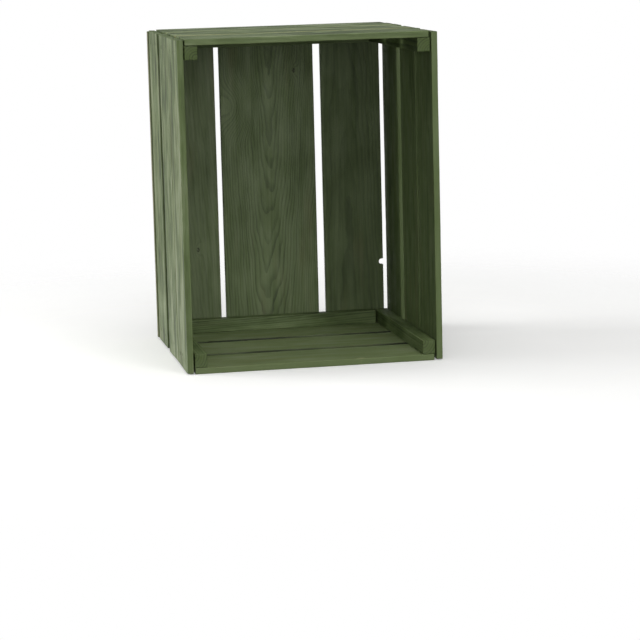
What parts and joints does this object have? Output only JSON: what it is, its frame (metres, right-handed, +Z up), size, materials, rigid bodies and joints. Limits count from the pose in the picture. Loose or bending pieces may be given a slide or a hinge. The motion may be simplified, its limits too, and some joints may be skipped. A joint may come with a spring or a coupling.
{
  "type": "slatted wooden crate",
  "caption": "Green-stained slatted wooden crate nailed to square corner posts, open on one side, standing on its short end like a small shelf.",
  "frame": {"origin": "middle of the bottom of the crate's bounding box, on the end face that the crate stands on", "axes": "+Z up along the crate's length, +X along its width to the right seen from the open side, +Y from the open side to the base boards"},
  "size_m": [0.362, 0.309, 0.458],
  "materials": {
    "stained_slat": "rough-sawn softwood under a thin matt green stain",
    "stained_board": "rough-sawn softwood under a thin matt green stain",
    "stained_stock": "square sawn softwood under a thin matt green stain",
    "nail_steel": "dull sunk nail heads with stain over them"
  },
  "bodies": {
    "root": {"left_side_slat_front": "stained_slat", "left_side_slat_middle": "stained_slat", "left_side_slat_back": "stained_slat", "right_side_slat_front": "stained_slat", "right_side_slat_middle": "stained_slat", "right_side_slat_back": "stained_slat", "bottom_end_slat_front": "stained_slat", "bottom_end_slat_middle": "stained_slat", "bottom_end_slat_back": "stained_slat", "top_end_slat_front": "stained_slat", "top_end_slat_middle": "stained_slat", "top_end_slat_back": "stained_slat", "corner_post_bottom_left": "stained_stock", "corner_post_bottom_right": "stained_stock", "corner_post_top_left": "stained_stock", "corner_post_top_right": "stained_stock", "base_batten_bottom": "stained_stock", "base_batten_top": "stained_stock", "base_board_left": "stained_board", "base_board_middle": "stained_board", "base_board_right": "stained_board", "nails_left_side": "nail_steel", "nails_right_side": "nail_steel", "nails_bottom_end": "nail_steel", "nails_top_end": "nail_steel", "nails_base": "nail_steel"}
  },
  "joints": []
}
